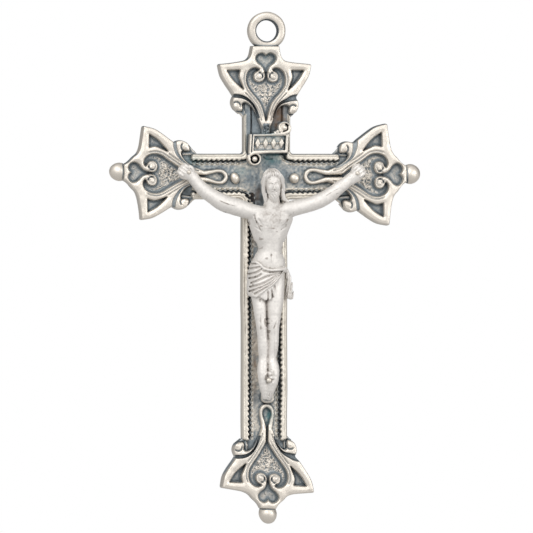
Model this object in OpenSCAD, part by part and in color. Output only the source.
// Pendant crucifix. Each casting is drawn flat (x to the right, y up, z towards the viewer)
// and stood up by stand(), so the back of the cross lies on the plane Y = 0 and its front faces -Y.
// The origin is the crossing of the two arms, on the back.

/* [Reach of the arms, from the crossing to the horn tips] */
// Reach of the top arm
top_reach = 11.2; // [10.8:0.05:13]
// Reach of the left arm
left_reach = 12.55; // [11.8:0.05:13]
// Reach of the right arm
right_reach = 12.25; // [11.8:0.05:13]
// Reach of the bottom arm
bottom_reach = 31.3; // [31:0.1:34]

/* [Cross plate] */
// Width of the upright
upright_w = 4.7; // [4.5:0.05:5]
// Width of the upright below the arms
lower_w = 4.55; // [4.4:0.05:4.8]
// How far the upright below the arms stands to the left of the centre line
lower_shift = 0.22; // [0:0.01:0.4]
// Height of the side arms
arm_w = 4.55; // [4.4:0.05:4.8]
// Thickness at the recessed field
field_t = 1.25; // [1.2:0.01:1.3]
// Thickness at the raised rim
rim_t = 1.75; // [1.6:0.01:1.8]
// Width of the raised rim
rim_w = 0.65; // [0.6:0.05:0.95]
// Width of the groove inside the rim
groove_w = 0.25; // [0.25:0.05:0.4]
// Width of the cord that follows the groove
cord_w = 0.2; // [0.15:0.01:0.25]
// Height of the cord above the field
cord_h = 0.22; // [0.1:0.01:0.3]
// Radius of the inside corners at the crossing
corner_r = 0.6; // [0.3:0.05:0.9]
// Thickness of the tongues that the terminals lap over
tongue_t = 0.9; // [0.7:0.05:1]

/* [Terminals] */
// Thickness of a terminal at its raised bands
band_t = 2.1; // [2:0.01:2.2]
// Thickness left under the sunk hearts and windows
sunk_t = 1.5; // [1.45:0.01:1.6]
// Turn of the left terminal on its arm, in degrees
left_turn = -2.7; // [-3:0.1:0]
// Turn of the right terminal on its arm, in degrees
right_turn = 1.4; // [0:0.1:3]
// Turn of the bottom terminal on its arm, in degrees
bottom_turn = 1.1; // [0:0.1:2]
// Slant of the bottom terminal's horns against its own axis, in degrees
bottom_slant = -4.2; // [-5:0.1:0]
// Slant of the left terminal's horns against its own axis, in degrees
left_slant = 1.3; // [0:0.1:2]
// Widening of the right terminal across its horns
right_spread = 1.06; // [1:0.01:1.08]
// Narrowing of the other three terminals across their horns
other_spread = 0.97; // [0.95:0.01:1]
// Shift of the side terminals upwards
side_shift = 0.1; // [0:0.01:0.2]
// Shift of the top terminal to the left
top_shift = 0.16; // [0:0.01:0.2]
// Radius of the balls at the ends of the volutes
volute_ball_r = 0.52; // [0.45:0.01:0.55]

/* [Beads, pearls and ring] */
// Radius of the end beads
bead_r = 0.94; // [0.85:0.01:1]
// Radius of the pin on each end bead
bead_pin_r = 0.4; // [0.3:0.01:0.45]
// Radius of the pearls on the side arms
pearl_r = 0.48; // [0.4:0.01:0.55]
// Distance of the left pearl from the upright's centre line
left_pearl_at = 3.2; // [2.9:0.01:3.25]
// Distance of the right pearl from the upright's centre line
right_pearl_at = 2.76; // [2.7:0.01:3.1]
// Drop of the pearls below the arms' centre line
pearl_drop = 0.18; // [0:0.01:0.3]
// Radius of the hole through the hanging ring
ring_hole_r = 1.05; // [0.9:0.01:1.2]
// Outer radius of the hanging ring
ring_r = 1.89; // [1.8:0.01:2]
// Thickness of the hanging ring, front to back
ring_t = 1.5; // [1.3:0.05:1.7]
// Length of the straight wall inside the ring
ring_wall = 0.9; // [0.8:0.05:1]

/* [Titulus] */
// Width of the scroll plaque
titulus_w = 3.9; // [3.6:0.05:4.1]
// Height of the scroll plaque
titulus_h = 1.95; // [1.8:0.05:2.1]
// Radius of its two rolled ends
curl_r = 0.62; // [0.5:0.01:0.65]

/* [Figure] */
// Radius of the nail shanks
nail_r = 0.24; // [0.2:0.01:0.26]
// Radius of the nail heads
nail_head_r = 0.42; // [0.36:0.01:0.45]
// Height of the foot rest above the back
foot_rest_t = 2.3; // [2.2:0.01:2.4]

/* [Hidden] */
$fn = 48;
silver = "#cfcac0";
dark_silver = "#8f9aa3";
bright_silver = "#e6e4e2";

ball_sides = 20;         // facets round each ball of the figure
fit_gap = 0.02;          // room between a pin and its hole, and round a tongue
plate_end = -4.9;        // where the rims stop, measured outwards from the horn tips
tongue_end = -3.8;       // where a tongue stops
turn_about = -5;         // the point of its arm that a terminal turns about
seam = 1.86;             // where a terminal ends and its bead begins
ring_seat = 3.34;        // the ring's centre, outwards from the horn tips
bead_at = seam + 0.55;
half_t = band_t / 2;
ring_mid = 1.05;         // the ring's middle, above the back
hands = [[-8.02, 0.38], [8.88, 0.3]];
pearls = [[-left_pearl_at, -pearl_drop], [right_pearl_at, -pearl_drop]];
foot_nail_at = [-0.05, -20.3];
rest_bottom = -22.3;

// Points of a smooth curve through the points of p, with n steps to a span
function blend(a, b, c, d, t) =
    0.5 * (2 * b + (c - a) * t + (2 * a - 5 * b + 4 * c - d) * t * t
           + (3 * b - 3 * c + d - a) * t * t * t);
function smooth(p, n = 4) = concat(
    [for (i = [0:len(p) - 2], k = [0:n - 1])
        blend(p[max(i - 1, 0)], p[i], p[i + 1], p[min(i + 2, len(p) - 1)], k / n)],
    [p[len(p) - 1]]);
function arc(c, r, from, to, n = 10) =
    [for (i = [0:n]) let (a = from + (to - from) * i / n) c + r * [cos(a), sin(a)]];
function reversed(p) = [for (i = [len(p) - 1:-1:0]) p[i]];
function mirrored(p) = [for (q = reversed(p)) [-q[0], q[1]]];
function both_sides(p) = concat(p, mirrored(p));
// Widens a shape across the arm by k and slants it by an angle
function shaped(p, k, slant) = [for (q = p) [q[0] * k, q[1] + q[0] * k * tan(slant)]];

// Half outline of a terminal, outwards along +y, with its horn tips at y = 0
volute_at = [2.9, -4.25];
function collar(cap) = smooth([[cap, seam], [cap + 0.3, 1.45], [1.9, 0.62], [2.9, 0.1], [4.7, 0.02]]);
horn_side = smooth([[4.85, -0.12], [4.6, -1.15], [4.15, -1.95], [3.37, -3.15]]);
volute_side = arc(volute_at, volute_ball_r + 0.06, 60, -150);
volute_band = smooth([[2.35, -4.1], [1.55, -4.55], [1.0, -5.15], [0.62, -5.75]]);
loop_side = smooth([[0.46, -6.3], [0.55, -7.1], [0.78, -8.0], [0.5, -8.5]]);
function outline(cap, loop) = both_sides(concat(
    collar(cap), horn_side, volute_side, volute_band, loop ? loop_side : []));

// Openings and sunk shapes of a terminal
heart = both_sides(concat(
    smooth([[0.1, -2.0], [0.55, -2.1], [1.15, -1.85], [1.25, -1.2], [0.75, -0.72]]),
    smooth([[1.05, -0.6], [1.7, -0.95], [1.95, -1.5], [1.85, -2.15], [0.92, -3.44], [0.06, -5.3]])));
small_heart = both_sides(concat(
    [[0, 0.72]],
    smooth([[0.45, 0.98], [0.85, 0.83], [1.0, 0.45], [0.02, -0.45]])));
window = concat(
    smooth([[3.95, -0.88], [3.45, -1.75], [2.1, -3.0]]),
    smooth([[2.3, -2.5], [2.75, -1.55], [2.64, -0.82]]));
side_groove = concat(
    smooth([[3.25, -3.25], [2.3, -3.5], [1.5, -4.1], [0.75, -5.2]]),
    smooth([[1.35, -4.45], [2.2, -3.75], [3.2, -3.45]]));
loop_hole = both_sides(smooth([[0.04, -6.3], [0.2, -7.1], [0.33, -7.95], [0.05, -8.3]]));
stem_slit = both_sides([[0.03, -4.9], [0.03, -6.2]]);

module stand() { rotate([90, 0, 0]) children(); }
module slab(from, to) { translate([0, 0, from]) linear_extrude(to - from) children(); }

// Puts a terminal's own frame at the end of an arm, moved sideways by shift
module at_end(angle, reach, turn = 0, shift = 0) {
    rotate([0, 0, angle])
        translate([shift, reach + turn_about, 0])
            rotate([0, 0, turn])
                translate([0, -turn_about, 0])
                    children();
}

// Cross with four arms of the given half widths, stopping short of the ends;
// the lower part of the upright has a width of its own and stands a little to the left
module cross_shape(half_upright, half_lower, half_arm, r, up, left, right, down) {
    // the side of the upright that a corner touches
    function side(sx, sy) = sy > 0 ? sx * half_upright : sx * half_lower - lower_shift;
    difference() {
        union() {
            translate([-half_upright, 0]) square([2 * half_upright, up]);
            translate([-half_lower - lower_shift, -down]) square([2 * half_lower, down]);
            translate([-left, -half_arm]) square([left + right, 2 * half_arm]);
            for (sx = [-1, 1], sy = [-1, 1])
                translate([side(sx, sy) + sx * r / 2, sy * (half_arm + r / 2)])
                    square(r + 0.01, center = true);
        }
        for (sx = [-1, 1], sy = [-1, 1])
            translate([side(sx, sy) + sx * r, sy * (half_arm + r)]) circle(r);
    }
}

module plate_shape(inset, r) {
    cross_shape(upright_w / 2 - inset, lower_w / 2 - inset, arm_w / 2 - inset, r,
                top_reach + plate_end, left_reach + plate_end, right_reach + plate_end,
                bottom_reach + plate_end);
}

module tongue(angle, reach, w) {
    rotate([0, 0, angle])
        translate([-w / 2, reach + plate_end - 0.5, 0])
            cube([w, tongue_end - plate_end + 0.5, tongue_t]);
}

module nail_holes(at) {
    for (p = at) translate([p[0], p[1], -1]) cylinder(h = 8, r = nail_r + fit_gap);
}

// Upright and side arms: rim, groove, cord and sunk field, with a tongue at each end
module cross_plate() {
    color(dark_silver) stand() difference() {
        union() {
            slab(0, field_t) plate_shape(0, corner_r);
            slab(field_t, rim_t) difference() {
                plate_shape(0, corner_r);
                plate_shape(rim_w, corner_r + rim_w);
            }
            slab(field_t, field_t + cord_h) difference() {
                plate_shape(rim_w + groove_w, corner_r + rim_w);
                plate_shape(rim_w + groove_w + cord_w, corner_r + rim_w);
            }
            tongue(0, top_reach, upright_w - 0.6);
            tongue(90, left_reach, arm_w - 0.6);
            tongue(-90, right_reach, arm_w - 0.6);
            tongue(180, bottom_reach, lower_w - 0.6);
        }
        nail_holes([hands[0], foot_nail_at]);
        for (p = pearls)
            translate([p[0], p[1], field_t - 0.6]) cylinder(h = 2, r = 0.2 + fit_gap);
        translate([0, titulus_mid, -1]) cylinder(h = 4, r = titulus_peg_r + fit_gap);
        // flats where the foot rest and the stems of the terminals sit on the field
        for (end = [[0, top_reach], [90, left_reach], [-90, right_reach], [180, bottom_reach]])
            rotate([0, 0, end[0]]) translate([-1.2, end[1] - 8.8, field_t]) cube([2.4, 8, 2]);
    }
}

// Room that a terminal leaves for the plate: the field under its stem, and the tongue
module lap_room(w) {
    translate([-upright_w, plate_end - 5, -1]) cube([2 * upright_w, 5, field_t + 1]);
    translate([-w / 2 - 0.15, plate_end - 1, -1])
        cube([w + 0.3, tongue_end - plate_end + 1 + fit_gap, tongue_t + 1]);
    // the rim ends stand just short of the volutes
    for (s = [-1, 1])
        translate([s * (w / 2 - 0.1) - 1.2, plate_end - 5, -1]) cube([2.4, 5, 4]);
}

// A flared end: horns, heart between two C-scrolls, windows, small heart, volutes, looped stem
module terminal(cap, loop, w, k = 1, slant = 0) {
    difference() {
        union() {
            slab(0, band_t) polygon(shaped(outline(cap, loop), k, slant));
            for (at = shaped([volute_at, [-volute_at[0], volute_at[1]]], k, slant))
                translate([at[0], at[1], band_t - 0.35]) sphere(volute_ball_r);
        }
        slab(sunk_t, 3) {
            polygon(shaped(heart, k, slant));
            polygon(shaped(small_heart, 1, slant));
            for (side = [-k, k], p = [window, side_groove]) polygon(shaped(p, side, slant));
            polygon(stem_slit);
        }
        if (loop) slab(0, 3) polygon(loop_hole);
        lap_room(w);
    }
}

module bead_hole() {
    translate([0, seam + 0.5, half_t]) rotate([90, 0, 0]) cylinder(h = 1.6, r = bead_pin_r + fit_gap);
}

module top_terminal() {
    color(silver) stand() difference() {
        at_end(0, top_reach, 0, -top_shift) terminal(1.45, false, upright_w, other_spread);
        translate([0, top_reach + ring_seat, -1]) cylinder(h = 4, r = ring_r);
    }
}

module left_terminal() {
    color(silver) stand() difference() {
        at_end(90, left_reach, left_turn, side_shift) difference() {
            terminal(0.8, true, arm_w, other_spread, left_slant);
            bead_hole();
        }
        nail_holes([hands[0]]);
    }
}

module right_terminal() {
    color(silver) stand() difference() {
        at_end(-90, right_reach, right_turn, -side_shift) difference() {
            terminal(0.8, true, arm_w, right_spread);
            bead_hole();
        }
        nail_holes([hands[1]]);
    }
}

module bottom_terminal() {
    color(silver) stand() at_end(180, bottom_reach, bottom_turn) difference() {
        terminal(0.8, true, upright_w, other_spread, bottom_slant);
        bead_hole();
    }
}

// Ball with a pin, seated against the end of a terminal, set in deeper by sink
module end_bead(sink = 0) {
    translate([0, 0, half_t]) {
        difference() {
            translate([0, bead_at - sink, 0]) sphere(bead_r);
            translate([-2, seam - 2, -2]) cube([4, 2, 4]);
        }
        translate([0, seam + 0.2, 0]) rotate([90, 0, 0]) cylinder(h = 1.2, r = bead_pin_r);
    }
}

module left_bead() {
    color(silver) stand() at_end(90, left_reach, left_turn, side_shift) end_bead(0.15);
}
module right_bead() {
    color(silver) stand() at_end(-90, right_reach, right_turn, -side_shift) end_bead(0.1);
}
module bottom_bead() { color(silver) stand() at_end(180, bottom_reach, bottom_turn) end_bead(); }

// Round eye with a straight-walled hole and eased edges
module hanging_ring() {
    ease = (ring_t - ring_wall) / 2;
    section = [[ring_hole_r, -ring_wall / 2], [ring_hole_r + ease, -ring_t / 2],
               [ring_r - ease, -ring_t / 2], [ring_r, -ring_wall / 2],
               [ring_r, ring_wall / 2], [ring_r - ease, ring_t / 2],
               [ring_hole_r + ease, ring_t / 2], [ring_hole_r, ring_wall / 2]];
    color(silver) stand() translate([0, top_reach + ring_seat, ring_mid])
        rotate_extrude() polygon(section);
}

// Dome with a peg
module arm_pearl(at) {
    translate([at[0], at[1], 0]) {
        difference() {
            translate([0, 0, field_t + 0.25]) sphere(pearl_r);
            translate([-1, -1, field_t - 2]) cube([2, 2, 2]);
        }
        translate([0, 0, field_t - 0.5]) cylinder(h = 0.7, r = 0.2);
    }
}

module left_arm_pearl() { color(silver) stand() arm_pearl(pearls[0]); }
module right_arm_pearl() { color(silver) stand() arm_pearl(pearls[1]); }

// Scroll plaque with a framed panel, a rolled end at two opposite corners and a peg
titulus_mid = 3.28;
titulus_back = rim_t;
titulus_front = 2.75;
titulus_peg_r = 0.4;
module titulus() {
    frame_w = 0.3;
    curls = [[-titulus_w / 2 + 0.6, -titulus_h / 2 - 0.6], [titulus_w / 2 - 0.35, titulus_h / 2 + 0.58]];
    color(silver) stand() translate([0, titulus_mid, 0]) {
        difference() {
            slab(titulus_back, titulus_front) square([titulus_w, titulus_h], center = true);
            slab(titulus_front - 0.3, titulus_front + 1)
                square([titulus_w - 2 * frame_w, titulus_h - 2 * frame_w], center = true);
        }
        for (i = [-2:2])
            slab(titulus_front - 0.3, titulus_front - 0.1)
                translate([i * 0.6, 0]) rotate(45) square(0.36, center = true);
        for (c = curls)
            slab(titulus_back, titulus_front + 0.1) translate(c) difference() {
                circle(curl_r);
                translate([0.12 * sign(c[0]), 0]) circle(curl_r * 0.55);
            }
        for (c = curls)
            slab(titulus_back, titulus_front + 0.05) translate(c) circle(curl_r * 0.35);
        for (c = curls)
            slab(titulus_back, titulus_back + 0.4) translate(c) circle(curl_r * 0.9);
        translate([0, 0, 0.02]) cylinder(h = titulus_back + 0.1, r = titulus_peg_r);
    }
}

// Round mass stretched over balls; a ball is [x, y, height, radius]
module flesh(balls) {
    hull() for (b = balls) translate([b[0], b[1], b[2]]) sphere(b[3], $fn = ball_sides);
}
module chain(balls) { for (i = [0:len(balls) - 2]) flesh([balls[i], balls[i + 1]]); }

// The figure, cast with a flat back: it rests on the rims, the terminals and the foot rest
module corpus() {
    head = [[0.3, -0.35, 3.5, 1.12], [0.36, -1.1, 3.65, 0.98], [0.45, -2.1, 3.8, 0.6]];
    neck = [[0.42, -1.7, 3.2, 0.6], [0.5, -3.1, 2.9, 0.7]];
    left_hair = [[-0.4, -0.7, 3.1, 0.6], [-0.4, -1.9, 3.1, 0.5], [-0.2, -3.0, 3.2, 0.4]];
    right_hair = [[1.05, -0.7, 3.1, 0.6], [1.35, -1.7, 3.1, 0.5], [1.75, -2.7, 3.1, 0.4]];
    chest = [[-0.65, -3.9, 2.85, 0.95], [1.35, -3.7, 2.85, 0.95],
             [-0.35, -5.4, 2.95, 0.9], [1.0, -5.3, 2.95, 0.9]];
    belly = [[-0.3, -5.4, 2.8, 0.85], [0.85, -5.3, 2.8, 0.85],
             [-0.1, -7.6, 2.55, 0.85], [0.5, -7.6, 2.55, 0.85]];
    hips = [[-0.2, -7.9, 2.7, 0.9], [0.7, -8.2, 2.7, 0.9], [-0.9, -9.6, 2.9, 1.0], [0.95, -9.6, 2.9, 1.0]];
    skirt = [[-0.9, -9.6, 2.9, 1.0], [0.95, -9.6, 2.9, 1.0],
             [-0.8, -11.6, 2.85, 0.85], [0.85, -11.4, 2.85, 0.9]];
    cloth_end = [[1.75, -9.0, 3.0, 0.3], [2.15, -11.8, 2.4, 0.4], [1.4, -11.6, 2.6, 0.4]];
    left_arm = [[-0.9, -3.5, 2.95, 0.8], [-2.65, -3.4, 2.8, 0.6], [-5.2, -2.35, 2.75, 0.74],
                [-7.1, -0.6, 2.7, 0.46], [hands[0][0], hands[0][1], 2.65, 0.62]];
    right_arm = [[1.8, -3.3, 2.95, 0.78], [4.85, -2.4, 2.8, 0.57], [6.6, -1.3, 2.75, 0.62],
                 [7.9, -0.45, 2.7, 0.44], [hands[1][0], hands[1][1], 2.65, 0.62]];
    left_leg = [[-0.75, -11.2, 2.8, 0.8], [-0.72, -14.8, 3.05, 0.56], [-0.72, -16.6, 2.7, 0.5],
                [-0.5, -18.6, 2.7, 0.34], [-0.45, -19.8, 3.0, 0.55], [-0.4, -21.4, 2.85, 0.4]];
    right_leg = [[0.75, -11.2, 2.8, 0.9], [0.45, -14.8, 3.05, 0.64], [0.42, -16.6, 2.7, 0.56],
                 [0.35, -18.6, 2.7, 0.4], [0.4, -19.8, 3.0, 0.6], [0.15, -21.6, 2.85, 0.42]];
    color(bright_silver) stand() difference() {
        union() {
            for (mass = [chest, belly, hips, skirt, cloth_end]) flesh(mass);
            for (balls = [head, neck, left_hair, right_hair, left_arm, right_arm, left_leg, right_leg])
                chain(balls);
        }
        translate([-15, -25, rim_t - 5]) cube([30, 30, 5]);
        for (x = [-15, 5.2]) translate([x, -5, -1]) cube([9.8, 10, band_t + 1]);
        translate([-2, -24, -1]) cube([4, 4.6, foot_rest_t + 1]);
        nail_holes(concat(hands, [foot_nail_at]));
    }
}

// Rivet with a domed head that bears on the figure
module nail(at, head_z) {
    dome = concat([[0, 0.02], [nail_r, 0.02], [nail_r, head_z], [nail_head_r, head_z]],
                  [for (a = [15:15:90]) [nail_head_r * cos(a), head_z + 0.05 + 0.2 * sin(a)]]);
    translate([at[0], at[1], 0]) rotate_extrude() polygon(dome);
}

module hand_nails() { color(bright_silver) stand() for (p = hands) nail(p, 3.24); }
module foot_nail() { color(bright_silver) stand() nail(foot_nail_at, 3.55); }

// Wedge between the plate and the soles
module foot_rest() {
    color(dark_silver) stand() difference() {
        slab(field_t, foot_rest_t)
            polygon([[-0.75, -19.6], [0.75, -19.6], [0.6, rest_bottom + 0.3], [0.2, rest_bottom],
                     [-0.2, rest_bottom], [-0.6, rest_bottom + 0.3]]);
        nail_holes([foot_nail_at]);
    }
}

cross_plate();
top_terminal();
left_terminal();
right_terminal();
bottom_terminal();
left_bead();
right_bead();
bottom_bead();
hanging_ring();
left_arm_pearl();
right_arm_pearl();
titulus();
corpus();
hand_nails();
foot_nail();
foot_rest();
